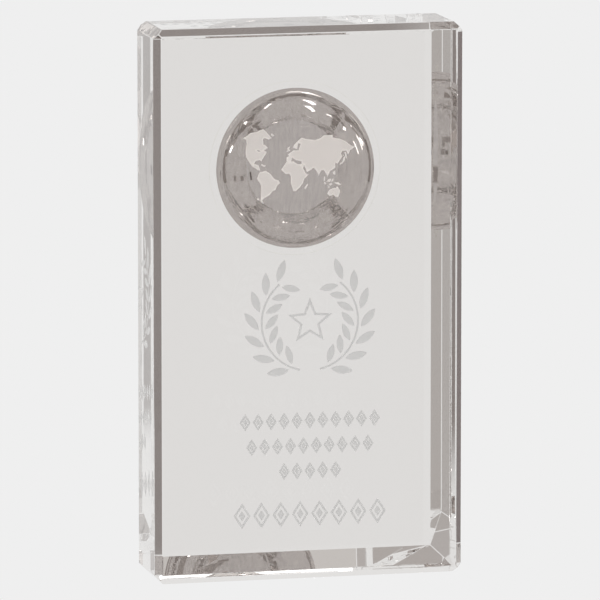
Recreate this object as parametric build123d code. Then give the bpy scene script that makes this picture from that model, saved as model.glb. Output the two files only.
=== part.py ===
from build123d import *
import os
from math import cos, radians, sin

# A free-standing crystal award: an upright bevelled block of optical crystal with a
# hemispherical glass bowl cemented into its back, seen through the front as a globe.
# Millimetres. +Z is up, the front looks along -Y, the origin is the middle of the base.

# Block
block_width = 119.0
block_height = 210.0
front_wall = 4.8            # crystal left between the front face and the recess
front_bevel = 2.6           # narrow 45 degree bevel round the front face
rear_bevel_inset = 6.5      # width of the rear bevel, measured on the rear face
rear_bevel_depth = 8.0      # depth of the rear bevel, measured along the sides
corner_cut = 3.3            # 45 degree cut on the four edges that run front to back

# Globe
globe_radius = 30.4         # inner, visible surface of the bowl
globe_drop = 56.6           # from the top of the block to the globe's centre
bowl_wall = 2.6
cement_thickness = 0.2      # clear optical cement between the bowl and the block

# Sandblasted decoration
map_depth = 0.2             # continents, cut into the bowl's inner surface
engraving_depth = 0.3       # emblem and ornament rows, cut into the front face
engraving_bottom = 20.0     # lowest engraving above the base

# Worked out from the sizes above
bowl_outer_radius = globe_radius + bowl_wall
recess_radius = bowl_outer_radius + cement_thickness
block_depth = front_wall + recess_radius
front_y = -block_depth / 2
rear_y = block_depth / 2
globe_z = block_height - globe_drop
globe_center = (0, rear_y, globe_z)

# The map is drawn on a square-ruled sheet that is as wide as the globe.
map_sheet_squares = 120
map_square = 2 * globe_radius / map_sheet_squares

# The engraving is drawn on a sheet this high, then scaled to the space that it has.
engraving_sheet_height = 103.0
engraving_space = globe_z - globe_radius - engraving_bottom
engraving_scale = engraving_space / engraving_sheet_height

# Emblem, on the engraving sheet: a laurel wreath round a five-pointed star
emblem_height = 78.4
wreath_radius = 18.6
stem_width = 0.7
stem_first_angle = -78.0
leaf_first_angle = -66.0
leaf_step = 19.5
leaf_pairs = 7
leaf_foot = 1.3             # from the stem's middle to the foot of a leaf
outer_leaf = (8.6, 3.0)     # length and width
outer_leaf_tilt = 32.0
inner_leaf = (7.2, 2.6)
inner_leaf_tilt = 50.0
star_points = 5
star_radius = 9.0
star_waist = 0.44
star_line = 1.1

# Ornament rows, on the engraving sheet: height of the middle, count, pitch, lozenge size
ornament_rows = [
    (40.8, 11, 5.0, 4.2, 6.4),
    (31.2, 10, 5.0, 4.2, 6.4),
    (21.6, 5, 5.0, 4.2, 6.4),
    (5.2, 8, 7.5, 6.4, 9.8),
]
lozenge_line = 0.9
lozenge_heart = 0.4

# Coastlines of the stylised world map, in squares right of and above the globe's middle
coastlines = {
    "north_america": [
        (-44, 26), (-41, 28), (-39, 30), (-34, 31), (-33, 32), (-30, 33), (-28, 31),
        (-25, 27), (-27, 26), (-30, 27), (-31, 26), (-31, 22), (-30, 22), (-28, 20),
        (-31, 18), (-29, 17), (-30, 15), (-32, 12), (-33, 10), (-34, 11), (-37, 10),
        (-38, 8), (-35, 7), (-34, 3), (-36, 4), (-39, 6), (-41, 9), (-43, 13),
        (-43, 17), (-42, 22), (-42, 25),
    ],
    "south_america": [
        (-34, 2), (-30, 3), (-27, 1), (-24, -3), (-21, -4), (-20, -6), (-22, -8),
        (-23, -11), (-25, -12), (-27, -15), (-30, -17), (-32, -19), (-31, -22),
        (-33, -20), (-33, -8), (-34, -6), (-36, -3), (-35, 0),
    ],
    "africa": [
        (-15, 10), (-10, 10), (-7, 8), (-2, 8), (-3, 5), (-1, 1), (1, 0), (-2, -3),
        (-3, -6), (-5, -9), (-8, -12), (-10, -12), (-12, -6), (-12, -1), (-13, 1),
        (-16, 1), (-19, 4), (-17, 7),
    ],
    "eurasia": [
        (-15, 9), (-15, 13), (-13, 14), (-14, 15), (-10, 18), (-6, 18), (-4, 23),
        (-6, 23), (-7, 19), (-10, 20), (-9, 22), (-7, 24), (-3, 27), (0, 26), (7, 25),
        (11, 26), (14, 28), (21, 28), (21, 26), (26, 25), (31, 23), (36, 19), (39, 18),
        (35, 16), (33, 13), (32, 16), (28, 16), (27, 14), (28, 12), (24, 7), (22, 8),
        (22, 4), (18, 2), (17, 0), (16, -2), (13, 3), (11, 3), (9, -1), (7, 3), (5, 5),
        (2, 3), (0, 2), (-2, 7), (-4, 7), (-4, 10), (-8, 11), (-11, 13), (-12, 9),
    ],
    "britain": [(-14, 20), (-12, 21), (-13, 19), (-12, 18), (-15, 17), (-14, 18)],
    "greenland": [(-25, 30), (-24, 30), (-23, 29), (-24, 28), (-25, 29)],
    "cuba": [(-33, 8), (-30, 7), (-31, 6), (-33, 7)],
    "madagascar": [(-2, -10), (0, -7), (1, -7), (-1, -11)],
    "sakhalin": [(30, 15), (31, 15), (32, 10), (31, 11)],
    "japan": [(30, 12), (30, 9), (28, 7), (26, 6), (26, 7), (28, 8), (29, 11)],
    "philippines": [(20, 1), (22, 2), (22, -1), (21, -1)],
    "sumatra": [(13, -2), (14, -2), (14, -5), (13, -5)],
    "java": [(13, -6), (14, -6), (15, -7), (14, -8)],
    "borneo": [(15, -6), (17, -4), (19, -4), (18, -6)],
    "sulawesi": [(19, -6), (20, -4), (21, -4), (20, -6)],
    "timor": [(17, -8), (19, -7), (20, -8), (18, -9)],
    "lombok": [(16, -9), (17, -9), (18, -10), (17, -11)],
    "new_guinea": [(21, -7), (25, -7), (27, -9), (25, -9), (23, -8)],
    "australia": [
        (16, -15), (18, -12), (21, -11), (23, -11), (24, -10), (26, -13), (26, -15),
        (25, -18), (23, -18), (21, -16), (18, -17),
    ],
}
great_lakes = [(-36, 18), (-34, 18), (-33, 17), (-35, 17)]


def closed_outline(points):
    """Face bounded by straight lines through the points."""
    return make_face(Polyline(*points, close=True))


def polar(radius, angle):
    """Point at a radius and an angle in degrees."""
    return (radius * cos(radians(angle)), radius * sin(radians(angle)))


def behind_rear_face():
    """Everything behind the rear plane, as far as the bowl's blanks reach."""
    reach = 2 * recess_radius
    return Pos(0, rear_y, globe_z) * Box(
        reach, recess_radius, reach, align=(Align.CENTER, Align.MIN, Align.CENTER)
    )


def block_blank():
    """Block ground to its bevels, before the recess and the engraving."""
    blank = Box(
        block_width, block_depth, block_height,
        align=(Align.CENTER, Align.CENTER, Align.MIN),
    )
    rear_face = blank.faces().sort_by(Axis.Y)[-1]
    blank = chamfer(
        rear_face.edges(), rear_bevel_inset, length2=rear_bevel_depth, reference=rear_face
    )
    front_face = blank.faces().sort_by(Axis.Y)[0]
    blank = chamfer(front_face.edges(), front_bevel)
    outline = Rectangle(block_width, block_height, align=(Align.CENTER, Align.MIN))
    outline = chamfer(outline.vertices(), corner_cut)
    front = Plane(origin=(0, front_y, 0), x_dir=(1, 0, 0), z_dir=(0, -1, 0))
    return blank & extrude(front * outline, amount=-block_depth)


def leaf(length, width):
    """Pointed leaf from the origin along +X, both edges arcs."""
    tip = (length, 0)
    upper = ThreePointArc((0, 0), (length / 2, width / 2), tip)
    lower = ThreePointArc(tip, (length / 2, -width / 2), (0, 0))
    return make_face(upper + lower)


def stem(last_angle):
    """Thin curved stem, from low on the wreath's circle up to its last leaves."""
    inner = wreath_radius - stem_width / 2
    outer = wreath_radius + stem_width / 2
    sweep = last_angle - stem_first_angle
    return make_face(
        CenterArc((0, 0), outer, stem_first_angle, sweep)
        + Line(polar(outer, last_angle), polar(inner, last_angle))
        + CenterArc((0, 0), inner, stem_first_angle, sweep)
        + Line(polar(inner, stem_first_angle), polar(outer, stem_first_angle))
    )


def wreath():
    """Two laurel branches that rise from the bottom of a circle to near its top."""
    branch = []
    for pair in range(leaf_pairs):
        angle = leaf_first_angle + leaf_step * pair
        along = angle + 90
        outer_foot = polar(wreath_radius + leaf_foot, angle)
        inner_foot = polar(wreath_radius - leaf_foot, angle)
        branch.append(Pos(*outer_foot) * Rot(0, 0, along - outer_leaf_tilt) * leaf(*outer_leaf))
        branch.append(Pos(*inner_foot) * Rot(0, 0, along + inner_leaf_tilt) * leaf(*inner_leaf))
    branch.append(stem(angle))
    return branch + [mirror(piece, about=Plane.YZ) for piece in branch]


def star_outline(radius):
    """Star with one point up."""
    half_step = 180 / star_points
    points = []
    for step in range(2 * star_points):
        reach = radius if step % 2 == 0 else radius * star_waist
        points.append(polar(reach, 90 + half_step * step))
    return closed_outline(points)


def lozenge(width, height):
    """Upright rhombus drawn as a line, with a small solid rhombus at its heart."""
    def rhombus(share):
        half_width = width / 2 * share
        half_height = height / 2 * share
        return closed_outline(
            [(half_width, 0), (0, half_height), (-half_width, 0), (0, -half_height)]
        )

    frame = rhombus(1) - rhombus(1 - 2 * lozenge_line / width)
    return [frame, rhombus(lozenge_heart)]


def engraving():
    """All pockets of the front face, as solids that reach into the block."""
    marks = [Pos(0, emblem_height) * mark for mark in wreath()]
    star = star_outline(star_radius) - star_outline(star_radius - 2 * star_line)
    marks.append(Pos(0, emblem_height) * star)
    for height, count, pitch, width, tall in ornament_rows:
        for index in range(count):
            across = (index - (count - 1) / 2) * pitch
            marks += [Pos(across, height) * mark for mark in lozenge(width, tall)]
    sheet = Plane(origin=(0, front_y, engraving_bottom), x_dir=(1, 0, 0), z_dir=(0, -1, 0))
    faces = [sheet * mark.scale(engraving_scale) for mark in marks]
    return [extrude(face, amount=-engraving_depth) for face in faces]


def crystal_block():
    """Bevelled block with the recess for the bowl and the engraved front."""
    block = block_blank() - Pos(*globe_center) * Sphere(recess_radius)
    return block - engraving()


def cement_film():
    """Thin shell of clear cement that fills the gap between the recess and the bowl."""
    shell = Sphere(recess_radius) - Sphere(bowl_outer_radius)
    return Pos(*globe_center) * shell - behind_rear_face()


def map_pockets():
    """Continents as a shell on the bowl's inner surface, as deep as the sandblasting."""
    shell = Sphere(globe_radius + map_depth) - Sphere(globe_radius - map_depth)
    sheet = Plane(origin=globe_center, x_dir=(1, 0, 0), z_dir=(0, -1, 0))
    land = None
    for points in coastlines.values():
        outline = closed_outline([(x * map_square, z * map_square) for x, z in points])
        land = outline if land is None else land + outline
    land -= closed_outline([(x * map_square, z * map_square) for x, z in great_lakes])
    prisms = extrude(sheet * land, amount=2 * recess_radius)
    return prisms & Pos(*globe_center) * shell


def globe_bowl():
    """Hemispherical glass bowl, open to the rear, with the map in its inner surface."""
    bowl = Pos(*globe_center) * (Sphere(bowl_outer_radius) - Sphere(globe_radius))
    bowl -= behind_rear_face()
    return bowl - map_pockets()


os.makedirs("parts", exist_ok=True)
for name, make in (
    ("crystal_block", crystal_block),
    ("cement_film", cement_film),
    ("globe_bowl", globe_bowl),
):
    solid = make()
    solid.label = name
    export_step(solid, f"parts/{name}.step")
    print(name, round(solid.volume, 2))
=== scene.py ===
import math

import bmesh
import bpy
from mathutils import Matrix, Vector
from mathutils.geometry import delaunay_2d_cdt
from mathutils.kdtree import KDTree


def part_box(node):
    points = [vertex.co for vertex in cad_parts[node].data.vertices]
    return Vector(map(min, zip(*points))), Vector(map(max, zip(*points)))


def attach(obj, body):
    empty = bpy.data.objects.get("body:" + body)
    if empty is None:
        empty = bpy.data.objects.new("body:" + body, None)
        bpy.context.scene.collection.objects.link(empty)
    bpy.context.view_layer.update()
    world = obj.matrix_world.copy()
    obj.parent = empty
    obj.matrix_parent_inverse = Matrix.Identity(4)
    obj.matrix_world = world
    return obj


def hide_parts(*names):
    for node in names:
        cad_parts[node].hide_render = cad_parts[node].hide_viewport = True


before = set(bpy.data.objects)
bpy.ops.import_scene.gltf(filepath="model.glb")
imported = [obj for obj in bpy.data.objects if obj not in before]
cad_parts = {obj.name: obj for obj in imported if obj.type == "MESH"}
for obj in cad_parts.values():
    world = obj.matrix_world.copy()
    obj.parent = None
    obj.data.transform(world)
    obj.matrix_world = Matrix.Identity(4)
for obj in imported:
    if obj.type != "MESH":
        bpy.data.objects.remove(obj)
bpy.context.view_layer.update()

MM = 0.001

# ---------------------------------------------------------------------------------------
# Crystal block: one casting of clear optical crystal, cut square, then every bevel ground
# on a wheel and the whole polished. The front carries a shallow sandblasted engraving, and
# the back a hemispherical recess. It stands on its own flat bottom, with nothing under it.
# ---------------------------------------------------------------------------------------

BLOCK_LOW, BLOCK_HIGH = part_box("crystal_block")
FRONT_Y = BLOCK_LOW.y
REAR_Y = BLOCK_HIGH.y
HALF_WIDTH = BLOCK_HIGH.x
BLOCK_TOP = BLOCK_HIGH.z
FRONT_BEVEL = 2.6 * MM
REAR_BEVEL_INSET = 6.5 * MM
REAR_BEVEL_DEPTH = 8.0 * MM
CORNER_CUT = 3.3 * MM
ARRIS = 0.22 * MM
ENGRAVING_DEPTH = 0.3 * MM
ENGRAVING_BOTTOM = 20.0 * MM
EMBLEM_HEIGHT = 78.4 * MM
WREATH_RADIUS = 18.6 * MM
STEM_WIDTH = 0.7 * MM
LEAF_FOOT = 1.3 * MM
# side of the stem, tilt from it, length and width of a leaf
LEAVES = (
    (1, math.radians(-32.0), 8.6 * MM, 3.0 * MM),
    (-1, math.radians(50.0), 7.2 * MM, 2.6 * MM),
)
LEAF_PAIRS = 7
STEM_FIRST_ANGLE = math.radians(-78.0)
LEAF_FIRST_ANGLE = math.radians(-66.0)
LEAF_STEP = math.radians(19.5)
STAR_RADIUS = 9.0 * MM
STAR_WAIST = 0.44
STAR_LINE = 1.1 * MM
# the lozenge's line in mm, and its heart as a share of its size
LOZENGE_LINE = 0.9
LOZENGE_HEART = 0.4
# height of the row's middle, count, pitch, and the lozenge's width and height, in mm
ORNAMENT_ROWS = (
    (40.8, 11, 5.0, 4.2, 6.4),
    (31.2, 10, 5.0, 4.2, 6.4),
    (21.6, 5, 5.0, 4.2, 6.4),
    (5.2, 8, 7.5, 6.4, 9.8),
)
CRYSTAL_INDEX = 1.52
# Blasting grit leaves pits of about 0.1 mm. They are drawn this coarse, so that they show
MARK_GRAIN = 0.25 * MM


def linear(colour):
    """sRGB hex colour as linear RGBA."""
    parts = [int(colour[i:i + 2], 16) / 255 for i in (1, 3, 5)]
    return [c / 12.92 if c <= 0.04045 else ((c + 0.055) / 1.055) ** 2.4 for c in parts] + [1.0]


def node(tree, kind, settings=(), **links):
    """Adds a node. settings go to its properties or sockets, links join sockets by name."""
    made = tree.nodes.new(kind)
    for key, value in dict(settings).items():
        if isinstance(key, str) and key.islower():
            setattr(made, key, value)
        else:
            made.inputs[key].default_value = value
    for key, source in links.items():
        tree.links.new(source, made.inputs[key.replace("_", " ")])
    return made


def new_material(name):
    """Empty node material and its node tree."""
    material = bpy.data.materials.new(name)
    material.use_nodes = True
    material.node_tree.nodes.clear()
    return material, material.node_tree


def polished_crystal(name, tint):
    """Crystal, ground and polished: clear, with sharp reflections at every face."""
    material, tree = new_material(name)
    clear = {"Color": linear(tint), "Roughness": 0.0, "IOR": CRYSTAL_INDEX}
    through = node(tree, "ShaderNodeBsdfRefraction", clear)
    mirrored = node(tree, "ShaderNodeBsdfAnisotropic", {"Color": linear("#FFFFFF"), "Roughness": 0.0})
    share = node(tree, "ShaderNodeFresnel", {"IOR": CRYSTAL_INDEX})
    mix = node(tree, "ShaderNodeMixShader")
    tree.links.new(share.outputs[0], mix.inputs[0])
    tree.links.new(through.outputs[0], mix.inputs[1])
    tree.links.new(mirrored.outputs[0], mix.inputs[2])
    node(tree, "ShaderNodeOutputMaterial", Surface=mix.outputs[0])
    return material


def sandblasted_crystal(name, shade, spread, grain, edge=0.0):
    """Crystal blasted with grit: an even frost that light soaks through, whitest at its edge by a painted
    highlight of strength edge.
    """
    material, tree = new_material(name)
    inland = node(tree, "ShaderNodeAttribute", {"attribute_name": "inland"})
    # painted highlight: the frost is full white at the coast and only 1 - edge of it inland
    rim = node(tree, "ShaderNodeMapRange", {1: 0.25, 2: 0.8, 3: 1.0, 4: 1 - edge})
    tree.links.new(inland.outputs["Fac"], rim.inputs[0])
    frost_with_painted_rim = node(tree, "ShaderNodeVectorMath", {"operation": "SCALE", 0: linear(shade)[:3]})
    tree.links.new(rim.outputs[0], frost_with_painted_rim.inputs["Scale"])
    place = node(tree, "ShaderNodeTexCoord")
    pits = {"Scale": 1 / grain, "Detail": 2.0}
    grit = node(tree, "ShaderNodeTexNoise", pits, Vector=place.outputs["Object"])
    depth = {"Strength": 0.35, "Distance": 0.05 * MM}
    bump = node(tree, "ShaderNodeBump", depth, Height=grit.outputs[0])
    frost = node(tree, "ShaderNodeBsdfDiffuse", Color=frost_with_painted_rim.outputs[0], Normal=bump.outputs[0])
    glow = node(tree, "ShaderNodeBsdfTranslucent", Color=frost_with_painted_rim.outputs[0], Normal=bump.outputs[0])
    white = node(tree, "ShaderNodeMixShader", {0: 0.5})
    tree.links.new(frost.outputs[0], white.inputs[1])
    tree.links.new(glow.outputs[0], white.inputs[2])
    rough = {"Color": linear("#FAFAFA"), "Roughness": 0.55, "IOR": CRYSTAL_INDEX}
    clear = node(tree, "ShaderNodeBsdfGlass", rough)
    mix = node(tree, "ShaderNodeMixShader", {0: spread})
    tree.links.new(clear.outputs[0], mix.inputs[1])
    tree.links.new(white.outputs[0], mix.inputs[2])
    node(tree, "ShaderNodeOutputMaterial", Surface=mix.outputs[0])
    return material


def cemented_face(name):
    """A face wetted by clear cement of the same index: it neither bends nor mirrors light."""
    material, tree = new_material(name)
    clear = node(tree, "ShaderNodeBsdfTransparent", {"Color": (1, 1, 1, 1)})
    node(tree, "ShaderNodeOutputMaterial", Surface=clear.outputs[0])
    return material


def new_piece(name, mesh_edit, materials):
    """Object in the scene from a bmesh, with its materials in order."""
    mesh = bpy.data.meshes.new(name)
    mesh_edit.to_mesh(mesh)
    mesh_edit.free()
    for material in materials:
        mesh.materials.append(material)
    piece = bpy.data.objects.new(name, mesh)
    bpy.context.scene.collection.objects.link(piece)
    return piece


def ground_away(body, point, outward):
    """Grinds the body flat at a plane, as a bevel is cut on the wheel."""
    everything = body.verts[:] + body.edges[:] + body.faces[:]
    cut = bmesh.ops.bisect_plane(body, geom=everything, plane_co=point, plane_no=outward, clear_outer=True)
    rim = [edge for edge in cut["geom_cut"] if isinstance(edge, bmesh.types.BMEdge)]
    bmesh.ops.contextual_create(body, geom=rim)


def block_body():
    """Square blank with its rear bevels, corner cuts and front bevels, and softened arrises."""
    body = bmesh.new()
    bmesh.ops.create_cube(body, size=1.0)
    for vert in body.verts:
        vert.co.x *= 2 * HALF_WIDTH
        vert.co.y = FRONT_Y if vert.co.y < 0 else REAR_Y
        vert.co.z = 0 if vert.co.z < 0 else BLOCK_TOP
    sides = [(1, 0, HALF_WIDTH, 0), (-1, 0, -HALF_WIDTH, 0), (0, 1, 0, BLOCK_TOP), (0, -1, 0, 0)]
    corners = [(sx, sz, sx * HALF_WIDTH, BLOCK_TOP if sz > 0 else 0) for sx in (1, -1) for sz in (1, -1)]
    for x, z, at_x, at_z in sides:
        outward = Vector((x * REAR_BEVEL_DEPTH, REAR_BEVEL_INSET, z * REAR_BEVEL_DEPTH))
        ground_away(body, (at_x, REAR_Y - REAR_BEVEL_DEPTH, at_z), outward)
    for x, z, at_x, at_z in corners:
        ground_away(body, (at_x, 0, at_z - z * CORNER_CUT), (x, 0, z))
    for x, z, at_x, at_z in sides:
        ground_away(body, (at_x, FRONT_Y + FRONT_BEVEL, at_z), (x, -1, z))
    bmesh.ops.remove_doubles(body, verts=body.verts, dist=0.001 * MM)
    bmesh.ops.recalc_face_normals(body, faces=body.faces)
    bmesh.ops.bevel(body, geom=body.edges[:], offset=ARRIS, segments=2, profile=0.5, affect="EDGES")
    return body


def arc_points(start, bulge, end, steps=12):
    """Points on the circular arc from start to end that stands bulge high on its left."""
    chord = end - start
    radius = (chord.length_squared / 4 + bulge * bulge) / (2 * bulge)
    along = chord.normalized()
    side = Vector((-along.y, along.x))
    centre = (start + end) / 2 + side * (bulge - radius)
    half = math.asin(min(1.0, chord.length / 2 / radius))
    angles = [half * (1 - 2 * step / steps) for step in range(steps)]
    return [centre + (side * math.cos(a) - along * math.sin(a)) * radius for a in angles]


def leaf_outline(foot, heading, length, width):
    """Pointed laurel leaf, both edges arcs."""
    tip = foot + Vector((math.cos(heading), math.sin(heading))) * length
    return arc_points(foot, width / 2, tip) + arc_points(tip, width / 2, foot)


def ring_point(radius, angle):
    """Point at a radius and angle."""
    return Vector((math.cos(angle), math.sin(angle))) * radius


def star_outline(radius):
    """Five-pointed star with one point up."""
    reach = (radius, radius * STAR_WAIST)
    return [ring_point(reach[step % 2], math.pi / 2 + math.pi / 5 * step) for step in range(10)]


def lozenge_outline(width, height, share):
    """Upright rhombus, as a share of its full size."""
    w, h = width / 2 * share, height / 2 * share
    return [Vector(p) for p in ((w, 0), (0, h), (-w, 0), (0, -h))]


def wreath_outlines():
    """Right branch of the wreath, then its mirror image."""
    last = LEAF_FIRST_ANGLE + LEAF_STEP * (LEAF_PAIRS - 1)
    branch = []
    for pair in range(LEAF_PAIRS):
        angle = LEAF_FIRST_ANGLE + LEAF_STEP * pair
        for side, tilt, length, width in LEAVES:
            foot = ring_point(WREATH_RADIUS + side * LEAF_FOOT, angle)
            branch.append(leaf_outline(foot, angle + math.pi / 2 + tilt, length, width))
    sweep = [STEM_FIRST_ANGLE + (last - STEM_FIRST_ANGLE) * step / 40 for step in range(41)]
    outer = [ring_point(WREATH_RADIUS + STEM_WIDTH / 2, angle) for angle in sweep]
    inner = [ring_point(WREATH_RADIUS - STEM_WIDTH / 2, angle) for angle in reversed(sweep)]
    branch.append(outer + inner)
    return branch + [[Vector((-p.x, p.y)) for p in reversed(outline)] for outline in branch]


def pocket_cutter(solid, outline, lift, hole=None):
    """Prism of an engraved mark, from outside the front face down to the pocket's floor."""
    levels = (FRONT_Y - ENGRAVING_DEPTH, FRONT_Y + ENGRAVING_DEPTH)
    foot = ENGRAVING_BOTTOM + lift
    rings = []
    for points in [outline] + ([hole] if hole else []):
        rings.append([[solid.verts.new((p.x, y, foot + p.y)) for p in points] for y in levels])
    count = len(outline)
    for level in (0, 1):
        if hole:
            outer, inner = rings[0][level], rings[1][level]
            for i in range(count):
                j = (i + 1) % count
                solid.faces.new((outer[i], outer[j], inner[j], inner[i]))
        else:
            solid.faces.new(rings[0][level])
    for near, far in rings:
        for i in range(count):
            j = (i + 1) % count
            solid.faces.new((near[i], near[j], far[j], far[i]))


def engraving_cutter():
    """All marks of the engraving as one solid to be cut out of the front face."""
    solid = bmesh.new()
    for outline in wreath_outlines():
        pocket_cutter(solid, outline, EMBLEM_HEIGHT)
    star_hole = star_outline(STAR_RADIUS - 2 * STAR_LINE)
    pocket_cutter(solid, star_outline(STAR_RADIUS), EMBLEM_HEIGHT, star_hole)
    for height, count, pitch, width, tall in ORNAMENT_ROWS:
        for index in range(count):
            across = Vector(((index - (count - 1) / 2) * pitch, 0)) * MM
            frame_share = 1 - 2 * LOZENGE_LINE / width
            outer, inner, heart = [
                [across + p * MM for p in lozenge_outline(width, tall, share)]
                for share in (1, frame_share, LOZENGE_HEART)
            ]
            pocket_cutter(solid, outer, height * MM, inner)
            pocket_cutter(solid, heart, height * MM)
    bmesh.ops.recalc_face_normals(solid, faces=solid.faces)
    return solid


def on_dome(radius, angle, turn):
    """Place on a dome that bulges forward, from its centre: angle from the pole, turn round it."""
    spread = radius * math.sin(angle)
    return Vector((spread * math.cos(turn), -radius * math.cos(angle), spread * math.sin(turn)))


def dome_cutter(radius, centre, rings=72, spokes=192):
    """Closed hemisphere that bulges forward from the rear face, with its pole on the axis."""
    solid = bmesh.new()
    pole = solid.verts.new(centre + Vector((0, -radius, 0)))
    turns = [2 * math.pi * spoke / spokes for spoke in range(spokes)]
    previous = None
    for ring in range(1, rings + 1):
        angle = math.pi / 2 * ring / rings
        row = [solid.verts.new(centre + on_dome(radius, angle, turn)) for turn in turns]
        for i in range(spokes):
            j = (i + 1) % spokes
            if previous is None:
                solid.faces.new((pole, row[i], row[j]))
            else:
                solid.faces.new((previous[i], row[i], row[j], previous[j]))
        previous = row
    behind = [solid.verts.new(v.co + Vector((0, MM, 0))) for v in previous]
    for i in range(spokes):
        j = (i + 1) % spokes
        solid.faces.new((previous[i], behind[i], behind[j], previous[j]))
    solid.faces.new(behind)
    bmesh.ops.recalc_face_normals(solid, faces=solid.faces)
    return solid


def cut_out(piece, cutters):
    """Cuts the solids out of the piece for good. Cut faces keep the cutter's material."""
    for cutter in cutters:
        cut = piece.modifiers.new(cutter.name, "BOOLEAN")
        cut.operation = "DIFFERENCE"
        cut.solver = "EXACT"
        cut.material_mode = "TRANSFER"
        cut.object = cutter
    bpy.context.view_layer.update()
    finished = piece.evaluated_get(bpy.context.evaluated_depsgraph_get())
    mesh = bpy.data.meshes.new_from_object(finished)
    piece.modifiers.clear()
    piece.data = mesh
    for cutter in cutters:
        bpy.data.objects.remove(cutter)


BOWL_LOW, BOWL_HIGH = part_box("globe_bowl")
FILM_LOW, FILM_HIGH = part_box("cement_film")
GLOBE_CENTRE = Vector((0, REAR_Y, (BOWL_LOW.z + BOWL_HIGH.z) / 2))
RECESS_RADIUS = FILM_HIGH.x

crystal = polished_crystal("polished_crystal", "#F7F6F5")
frosted_crystal = sandblasted_crystal("sandblasted_crystal", "#D0CFCD", 0.6, MARK_GRAIN)
bonded = cemented_face("bonded_face")

block = new_piece("block", block_body(), [crystal])
recess = new_piece("recess", dome_cutter(RECESS_RADIUS, GLOBE_CENTRE), [bonded])
engraving = new_piece("engraving", engraving_cutter(), [frosted_crystal])
cut_out(block, [recess, engraving])
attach(block, "root")
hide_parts("crystal_block")

# ---------------------------------------------------------------------------------------
# Cement film: clear optical cement, run into the recess and cured under the bowl. It has
# the crystal's own index, so only its thin polished edge can show, round the bowl's rim.
# ---------------------------------------------------------------------------------------

RIM_SLICE = 0.05 * MM


def optical_cement():
    """Cured cement: not seen between the two glasses, clear and faintly warm at its edge."""
    material, tree = new_material("optical_cement")
    place = node(tree, "ShaderNodeTexCoord")
    split = node(tree, "ShaderNodeSeparateXYZ", Vector=place.outputs["Object"])
    at_rim = node(tree, "ShaderNodeMath", {"operation": "GREATER_THAN", 1: REAR_Y - RIM_SLICE})
    tree.links.new(split.outputs["Y"], at_rim.inputs[0])
    clear = node(tree, "ShaderNodeBsdfTransparent", {"Color": (1, 1, 1, 1)})
    cured = {"Color": linear("#F7F6F2"), "Roughness": 0.0, "IOR": CRYSTAL_INDEX}
    edge = node(tree, "ShaderNodeBsdfGlass", cured)
    mix = node(tree, "ShaderNodeMixShader")
    tree.links.new(at_rim.outputs[0], mix.inputs[0])
    tree.links.new(clear.outputs[0], mix.inputs[1])
    tree.links.new(edge.outputs[0], mix.inputs[2])
    node(tree, "ShaderNodeOutputMaterial", Surface=mix.outputs[0])
    return material


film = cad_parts["cement_film"]
film.data.materials.clear()
film.data.materials.append(optical_cement())

# ---------------------------------------------------------------------------------------
# Globe bowl: a hemispherical bowl of glass, cemented into the recess and open to the back.
# Its hollow is polished, with painted shade: a faint grey tint on its glass side darkens the globe.
# The continents are sandblasted into that hollow as shallow pockets, so from the front they float on a
# globe.
# ---------------------------------------------------------------------------------------

OUTER_RADIUS = BOWL_HIGH.x
GLOBE_RADIUS = 30.4 * MM
MAP_DEPTH = 0.2 * MM
MAP_SHEET_SQUARES = 120
MAP_SQUARE = 2 * GLOBE_RADIUS / MAP_SHEET_SQUARES
POINT_SPACING = 0.8 * MM
OUTSIDE_ROWS = 60
# width of the painted highlight that whitens the frost along a coast
PAINTED_RIM_WIDTH = 0.8 * MM
LAND_GRAIN = 0.3 * MM
# places of the bowl's finishes in its list of materials
HOLLOW, LAND, COAST, BONDED, RIM = range(5)

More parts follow.
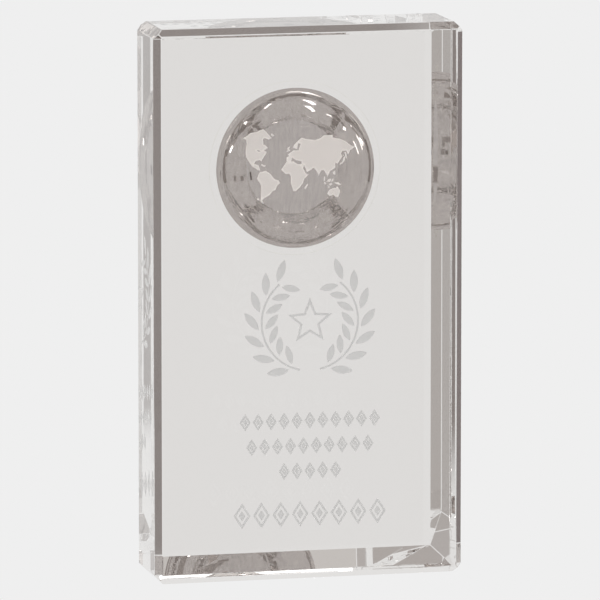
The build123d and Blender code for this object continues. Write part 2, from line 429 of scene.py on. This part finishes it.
# Coastlines of the stylised world map, in squares right of and above the globe's middle
COASTLINES = {
    "north_america": (
        (-44, 26), (-41, 28), (-39, 30), (-34, 31), (-33, 32), (-30, 33), (-28, 31),
        (-25, 27), (-27, 26), (-30, 27), (-31, 26), (-31, 22), (-30, 22), (-28, 20),
        (-31, 18), (-29, 17), (-30, 15), (-32, 12), (-33, 10), (-34, 11), (-37, 10),
        (-38, 8), (-35, 7), (-34, 3), (-36, 4), (-39, 6), (-41, 9), (-43, 13),
        (-43, 17), (-42, 22), (-42, 25),
    ),
    "south_america": (
        (-34, 2), (-30, 3), (-27, 1), (-24, -3), (-21, -4), (-20, -6), (-22, -8),
        (-23, -11), (-25, -12), (-27, -15), (-30, -17), (-32, -19), (-31, -22),
        (-33, -20), (-33, -8), (-34, -6), (-36, -3), (-35, 0),
    ),
    "africa": (
        (-15, 10), (-10, 10), (-7, 8), (-2, 8), (-3, 5), (-1, 1), (1, 0), (-2, -3),
        (-3, -6), (-5, -9), (-8, -12), (-10, -12), (-12, -6), (-12, -1), (-13, 1),
        (-16, 1), (-19, 4), (-17, 7),
    ),
    "eurasia": (
        (-15, 9), (-15, 13), (-13, 14), (-14, 15), (-10, 18), (-6, 18), (-4, 23),
        (-6, 23), (-7, 19), (-10, 20), (-9, 22), (-7, 24), (-3, 27), (0, 26), (7, 25),
        (11, 26), (14, 28), (21, 28), (21, 26), (26, 25), (31, 23), (36, 19), (39, 18),
        (35, 16), (33, 13), (32, 16), (28, 16), (27, 14), (28, 12), (24, 7), (22, 8),
        (22, 4), (18, 2), (17, 0), (16, -2), (13, 3), (11, 3), (9, -1), (7, 3), (5, 5),
        (2, 3), (0, 2), (-2, 7), (-4, 7), (-4, 10), (-8, 11), (-11, 13), (-12, 9),
    ),
    "britain": ((-14, 20), (-12, 21), (-13, 19), (-12, 18), (-15, 17), (-14, 18)),
    "greenland": ((-25, 30), (-24, 30), (-23, 29), (-24, 28), (-25, 29)),
    "cuba": ((-33, 8), (-30, 7), (-31, 6), (-33, 7)),
    "madagascar": ((-2, -10), (0, -7), (1, -7), (-1, -11)),
    "sakhalin": ((30, 15), (31, 15), (32, 10), (31, 11)),
    "japan": ((30, 12), (30, 9), (28, 7), (26, 6), (26, 7), (28, 8), (29, 11)),
    "philippines": ((20, 1), (22, 2), (22, -1), (21, -1)),
    "sumatra": ((13, -2), (14, -2), (14, -5), (13, -5)),
    "java": ((13, -6), (14, -6), (15, -7), (14, -8)),
    "borneo": ((15, -6), (17, -4), (19, -4), (18, -6)),
    "sulawesi": ((19, -6), (20, -4), (21, -4), (20, -6)),
    "timor": ((17, -8), (19, -7), (20, -8), (18, -9)),
    "lombok": ((16, -9), (17, -9), (18, -10), (17, -11)),
    "new_guinea": ((21, -7), (25, -7), (27, -9), (25, -9), (23, -8)),
    "australia": (
        (16, -15), (18, -12), (21, -11), (23, -11), (24, -10), (26, -13), (26, -15),
        (25, -18), (23, -18), (21, -16), (18, -17),
    ),
}
GREAT_LAKES = ((-36, 18), (-34, 18), (-33, 17), (-35, 17))


def inside(point, outline):
    """Whether a point of the sheet lies inside an outline."""
    x, z = point
    hit = False
    for (ax, az), (bx, bz) in zip(outline, outline[1:] + outline[:1]):
        if (az > z) != (bz > z) and x < (bx - ax) * (z - az) / (bz - az) + ax:
            hit = not hit
    return hit


def is_land(point):
    """Whether a point of the sheet, in squares, is on land."""
    if inside(point, GREAT_LAKES):
        return False
    return any(inside(point, outline) for outline in COASTLINES.values())


def unrolled(x, z):
    """Point of the sheet, in squares, laid out so that distances from the middle are true."""
    reach = math.hypot(x, z) * MAP_SQUARE / GLOBE_RADIUS
    stretch = math.asin(min(reach, 1.0)) / reach if reach > 1e-9 else 1.0
    return Vector((x * stretch, z * stretch)) * MAP_SQUARE


def rolled(point, radius):
    """Place on the dome of a point of the laid-out sheet."""
    angle = point.length / GLOBE_RADIUS
    flat = point.normalized() * math.sin(angle) if angle > 1e-9 else Vector((0, 0))
    return GLOBE_CENTRE + Vector((flat.x, -math.cos(angle), flat.y)) * radius


def back_on_sheet(point):
    """The inverse of unrolled, in squares."""
    angle = point.length / GLOBE_RADIUS
    if angle < 1e-9:
        return (0.0, 0.0)
    return tuple(point.normalized() * math.sin(angle) * GLOBE_RADIUS / MAP_SQUARE)


def dome_points():
    """Evenly spread points of the laid-out sheet, ring by ring, out to the rim."""
    rings = round(GLOBE_RADIUS * math.pi / 2 / POINT_SPACING)
    points = [Vector((0, 0))]
    for ring in range(1, rings + 1):
        angle = math.pi / 2 * ring / rings
        count = max(6, round(2 * math.pi * GLOBE_RADIUS * math.sin(angle) / POINT_SPACING))
        stagger = 0.5 * (ring % 2)
        turns = [2 * math.pi * (i + stagger) / count for i in range(count)]
        points += [ring_point(GLOBE_RADIUS * angle, turn) for turn in turns]
    return points


def mapped_hollow():
    """The bowl's hollow, with the map's pockets sunk in it and the distance to the coast."""
    points = dome_points()
    coast_edges = []
    for outline in list(COASTLINES.values()) + [GREAT_LAKES]:
        first = len(points)
        for (ax, az), (bx, bz) in zip(outline, outline[1:] + outline[:1]):
            steps = max(1, round(math.hypot(bx - ax, bz - az) * MAP_SQUARE / POINT_SPACING))
            shares = [i / steps for i in range(steps)]
            points += [unrolled(ax + (bx - ax) * t, az + (bz - az) * t) for t in shares]
        last = len(points)
        coast_edges += [(i, i + 1 if i + 1 < last else first) for i in range(first, last)]
    coast = KDTree(3 * len(coast_edges))
    for index, (a, b) in enumerate(coast_edges):
        for third in range(3):
            coast.insert(points[a].lerp(points[b], third / 3).to_3d(), 3 * index + third)
    coast.balance()
    flat, _, triangles, _, _, _ = delaunay_2d_cdt(points, coast_edges, [], 0, 1e-7)
    bowl = bmesh.new()
    inland = bowl.verts.layers.float.new("inland")
    verts = {}

    def vert(index, level):
        """The point on the hollow's surface (level 0) or on a pocket's floor (level 1)."""
        if (index, level) not in verts:
            made = bowl.verts.new(rolled(flat[index], GLOBE_RADIUS + level * MAP_DEPTH))
            made[inland] = coast.find(flat[index].to_3d())[2] / PAINTED_RIM_WIDTH
            verts[index, level] = made
        return verts[index, level]

    sides = {}
    for triangle in triangles:
        middle = (flat[triangle[0]] + flat[triangle[1]] + flat[triangle[2]]) / 3
        land = is_land(back_on_sheet(middle))
        face = bowl.faces.new([vert(i, 1 if land else 0) for i in triangle])
        face.material_index = LAND if land else HOLLOW
        face.smooth = True
        for a, b in zip(triangle, triangle[1:] + triangle[:1]):
            sides.setdefault(frozenset((a, b)), set()).add(land)
    for pair, kinds in sides.items():
        if len(kinds) == 2:
            a, b = pair
            wall = bowl.faces.new((vert(a, 0), vert(b, 0), vert(b, 1), vert(a, 1)))
            wall.material_index = COAST
    return bowl


def close_bowl(bowl):
    """Adds the flat rim and the outside, which the cement wets."""
    rim = [edge for edge in bowl.edges if edge.is_boundary]
    turn = {v: math.atan2(v.co.z - GLOBE_CENTRE.z, v.co.x) for edge in rim for v in edge.verts}
    inner = sorted(turn, key=turn.get)
    count = len(inner)
    previous = inner
    for row in range(OUTSIDE_ROWS):
        angle = math.pi / 2 * (1 - row / OUTSIDE_ROWS)
        places = [GLOBE_CENTRE + on_dome(OUTER_RADIUS, angle, turn[v]) for v in inner]
        ring = [bowl.verts.new(place) for place in places]
        for i in range(count):
            j = (i + 1) % count
            face = bowl.faces.new((previous[i], previous[j], ring[j], ring[i]))
            face.material_index = RIM if row == 0 else BONDED
            face.smooth = row > 0
        previous = ring
    pole = bowl.verts.new(GLOBE_CENTRE + Vector((0, -OUTER_RADIUS, 0)))
    for i in range(count):
        face = bowl.faces.new((previous[i], previous[(i + 1) % count], pole))
        face.material_index = BONDED
        face.smooth = True
    bmesh.ops.recalc_face_normals(bowl, faces=bowl.faces)


def true_dome_normals(mesh):
    """Gives the hollow the exact normals of a sphere, so that it mirrors without facets."""
    normals = []
    for polygon in mesh.polygons:
        for loop in polygon.loop_indices:
            if polygon.use_smooth:
                out = (GLOBE_CENTRE - mesh.vertices[mesh.loops[loop].vertex_index].co).normalized()
                normals.append(out if polygon.normal.dot(out) > 0 else -out)
            else:
                normals.append(polygon.normal.copy())
    mesh.normals_split_custom_set(normals)


def paint_dome_shade(material, tint, mirror_painted_shade, marks):
    """Painted shade laid on polished crystal: a faint grey tint on what it passes and mirrors from the
    glass side, streaked, clear from the air.
    """
    tree = material.node_tree
    place = node(tree, "ShaderNodeTexCoord")
    # polishing streaks about 0.7 mm wide and 7 mm long, drawn as stripes in the painted shade
    drawn = node(tree, "ShaderNodeMapping", {"Scale": (1.4, 0.4, 0.14)}, Vector=place.outputs["Object"])
    streaks = node(tree, "ShaderNodeTexNoise", {"Scale": 1 / MM, "Detail": 3.0}, Vector=drawn.outputs[0])
    depth = node(tree, "ShaderNodeMapRange", {1: 0.35, 2: 0.65, 3: 1 - marks, 4: 1 + marks})
    tree.links.new(streaks.outputs[0], depth.inputs[0])
    side = node(tree, "ShaderNodeNewGeometry")
    # painted shade: grey on the glass side for what passes and what mirrors, white from the air side
    for shader, shade in (("Refraction BSDF", tint), ("Glossy BSDF", mirror_painted_shade)):
        seen = node(tree, "ShaderNodeMix", {"data_type": "RGBA", 6: linear("#FFFFFF"), 7: linear(shade)})
        tree.links.new(side.outputs["Backfacing"], seen.inputs[0])
        streaked_painted_shade = node(tree, "ShaderNodeVectorMath", {"operation": "SCALE"})
        tree.links.new(seen.outputs[2], streaked_painted_shade.inputs[0])
        tree.links.new(depth.outputs[0], streaked_painted_shade.inputs["Scale"])
        tree.links.new(streaked_painted_shade.outputs[0], tree.nodes[shader].inputs["Color"])
    return material


polished_glass = polished_crystal("shade_painted_glass", "#FFFFFF")
# painted shade: grey tints darken the globe's disc and its mirrored ring, seen from the glass side
shade_painted_glass = paint_dome_shade(polished_glass, "#BBB5B2", "#C0BAB7", 0.045)
# painted highlight along the land's coast: its frost is drawn 12% darker inland
blasted_land = sandblasted_crystal("sandblasted_land", "#FFF9F5", 0.95, LAND_GRAIN, 0.12)
blasted_coast = sandblasted_crystal("sandblasted_coast", "#FFFFFF", 1.0, LAND_GRAIN)

bowl = mapped_hollow()
close_bowl(bowl)
globe = new_piece("globe", bowl, [shade_painted_glass, blasted_land, blasted_coast, bonded, crystal])
true_dome_normals(globe.data)
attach(globe, "root")
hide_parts("globe_bowl")

# ---------------------------------------------------------------------------------------
# Studio: a plain pale table and surroundings, lit evenly, so that the crystal's edges draw
# themselves against it.
# ---------------------------------------------------------------------------------------

PALE = "#EFEFEF"


def pale_table():
    """White acrylic lit from beneath, with no shadow on it."""
    material, tree = new_material("lit_table")
    light = node(tree, "ShaderNodeEmission", {"Color": linear(PALE), "Strength": 1.0})
    node(tree, "ShaderNodeOutputMaterial", Surface=light.outputs[0])
    return material


table_edit = bmesh.new()
bmesh.ops.create_circle(table_edit, cap_ends=True, segments=96, radius=8.0)
table = new_piece("table", table_edit, [pale_table()])
table.visible_glossy = False
table.visible_transmission = False
table.visible_diffuse = False


def direction(azimuth, elevation):
    """Unit vector at an azimuth (0 is the front, positive to the right) and elevation."""
    a, e = math.radians(azimuth), math.radians(elevation)
    return Vector((math.sin(a) * math.cos(e), -math.cos(a) * math.cos(e), math.sin(e)))


# Grey cards of a bright-field set, each seen only by the crystal:
# azimuth, elevation, half width, half height and softness in degrees, and the card's colour
CARDS = (
    (15, -8.6, 2.5, 3.0, 1.0, "#B4AFAC"),
    (9, 3, 5, 5, 2.0, "#B4AFAC"),
    (62, 75, 10, 3, 3.0, "#CFCBC8"),
    (-63, -8.6, 2.0, 2.4, 1.0, "#ADA8A5"),
    (-80, 6, 4, 3, 1.5, "#B7B2B0"),
    (-83, -9.4, 3.0, 2.0, 1.0, "#938C89"),
    (-124, -9.4, 2.5, 1.6, 1.0, "#938C89"),
    (141, -8.6, 1.2, 2.0, 0.6, "#867E7B"),
    (130, -6.9, 1.4, 2.6, 0.4, "#958E8B"),
    (146, -7.8, 1.4, 1.8, 0.8, "#867E7B"),
    (-164, -8.6, 0.8, 2.0, 0.5, "#6A5D5B"),
    (165.2, -33, 2.0, 1.5, 1.5, "#8F8885"),
    (-42, 40, 26, 12, 4.0, "#BDB8B5"),
    (-94, -15, 4, 3, 2.0, "#B4AEAB"),
    (-42, 73, 32, 5, 3.0, "#B4AEAB"),
)


def studio_world():
    """Even white surroundings, with the cards hung in them."""
    world = bpy.data.worlds.new("studio")
    bpy.context.scene.world = world
    world.use_nodes = True
    tree = world.node_tree
    tree.nodes.clear()
    way = node(tree, "ShaderNodeTexCoord")
    parts = node(tree, "ShaderNodeSeparateXYZ", Vector=way.outputs["Generated"])
    back = node(tree, "ShaderNodeMath", {"operation": "MULTIPLY", 1: -1.0})
    tree.links.new(parts.outputs["Y"], back.inputs[0])
    turn = node(tree, "ShaderNodeMath", {"operation": "ARCTAN2"})
    tree.links.new(parts.outputs["X"], turn.inputs[0])
    tree.links.new(back.outputs[0], turn.inputs[1])
    rise = node(tree, "ShaderNodeMath", {"operation": "ARCSINE"})
    tree.links.new(parts.outputs["Z"], rise.inputs[0])
    level = node(tree, "ShaderNodeRGB")
    level.outputs[0].default_value = linear(PALE)
    light = level.outputs[0]
    for azimuth, elevation, half_width, half_height, softness, shade in CARDS:
        covers = []
        for angle, middle, half in ((turn, azimuth, half_width), (rise, elevation, half_height)):
            offset = node(tree, "ShaderNodeMath", {"operation": "SUBTRACT", 1: math.radians(middle)})
            tree.links.new(angle.outputs[0], offset.inputs[0])
            gap = node(tree, "ShaderNodeMath", {"operation": "ABSOLUTE"})
            tree.links.new(offset.outputs[0], gap.inputs[0])
            fade = {1: math.radians(half + softness), 2: math.radians(half)}
            cover = node(tree, "ShaderNodeMapRange", {"interpolation_type": "SMOOTHSTEP", **fade})
            tree.links.new(gap.outputs[0], cover.inputs[0])
            covers.append(cover)
        both = node(tree, "ShaderNodeMath", {"operation": "MULTIPLY"})
        tree.links.new(covers[0].outputs[0], both.inputs[0])
        tree.links.new(covers[1].outputs[0], both.inputs[1])
        mixed = node(tree, "ShaderNodeMix", {"data_type": "RGBA", 7: linear(shade)})
        tree.links.new(both.outputs[0], mixed.inputs[0])
        tree.links.new(light, mixed.inputs[6])
        light = mixed.outputs[2]
    path = node(tree, "ShaderNodeLightPath")
    seen = node(tree, "ShaderNodeMix", {"data_type": "RGBA", 7: linear(PALE)})
    tree.links.new(path.outputs["Is Camera Ray"], seen.inputs[0])
    tree.links.new(light, seen.inputs[6])
    sky = node(tree, "ShaderNodeBackground", Color=seen.outputs[2])
    node(tree, "ShaderNodeOutputWorld", Surface=sky.outputs[0])


studio_world()


# The middle of the award, which the lights and the camera face
AIM = Vector((0, 0, BLOCK_TOP / 2))


def softbox(name, azimuth, elevation, width, height, distance, radiance):
    """Rectangular softbox that faces the award. radiance is its brightness as seen."""
    lamp = bpy.data.lights.new(name, "AREA")
    lamp.shape = "RECTANGLE"
    lamp.size = width
    lamp.size_y = height
    lamp.energy = radiance * width * height * math.pi
    box = bpy.data.objects.new(name, lamp)
    bpy.context.scene.collection.objects.link(box)
    box.location = AIM + direction(azimuth, elevation) * distance
    box.rotation_euler = (AIM - box.location).to_track_quat("-Z", "Y").to_euler()
    box.visible_camera = False


softbox("right_softbox", 108, 25, 0.06, 0.32, 1.0, 3.0)
softbox("front_softbox", -29, 24, 0.20, 0.16, 1.0, 5.0)
softbox("top_softbox", 128, 60, 0.34, 0.12, 1.0, 4.0)
softbox("rear_softbox", 156, 57, 0.3, 0.2, 1.0, 1.3)

# ---------------------------------------------------------------------------------------
# Camera, a long lens a little to the left and above, and how the picture is developed.
# ---------------------------------------------------------------------------------------

CAMERA_AZIMUTH = -13.486
CAMERA_ELEVATION = 8.768
CAMERA_DISTANCE = 2.8766
FOCAL_LENGTH = 457.0
SENSOR = 36.0
# small shifts of the frame that keep the award where it stands in it
SHIFT_RIGHT = 0.0030
SHIFT_UP = -0.0056

lens = bpy.data.cameras.new("camera")
lens.sensor_width = SENSOR
lens.lens = FOCAL_LENGTH
lens.clip_end = 100.0
lens.shift_x = SHIFT_RIGHT
lens.shift_y = SHIFT_UP
camera = bpy.data.objects.new("camera", lens)
bpy.context.scene.collection.objects.link(camera)
camera.location = AIM + direction(CAMERA_AZIMUTH, CAMERA_ELEVATION) * CAMERA_DISTANCE
camera.rotation_euler = (AIM - camera.location).to_track_quat("-Z", "Y").to_euler()
scene = bpy.context.scene
scene.camera = camera
scene.view_settings.view_transform = "Standard"
# light turns many times inside the block before it leaves
scene.cycles.max_bounces = 48
scene.cycles.transmission_bounces = 48
scene.cycles.glossy_bounces = 48
scene.cycles.transparent_max_bounces = 32
scene.cycles.diffuse_bounces = 4
scene.cycles.sample_clamp_indirect = 6.0
scene.cycles.caustics_reflective = True
scene.cycles.caustics_refractive = True
scene.cycles.blur_glossy = 0.0
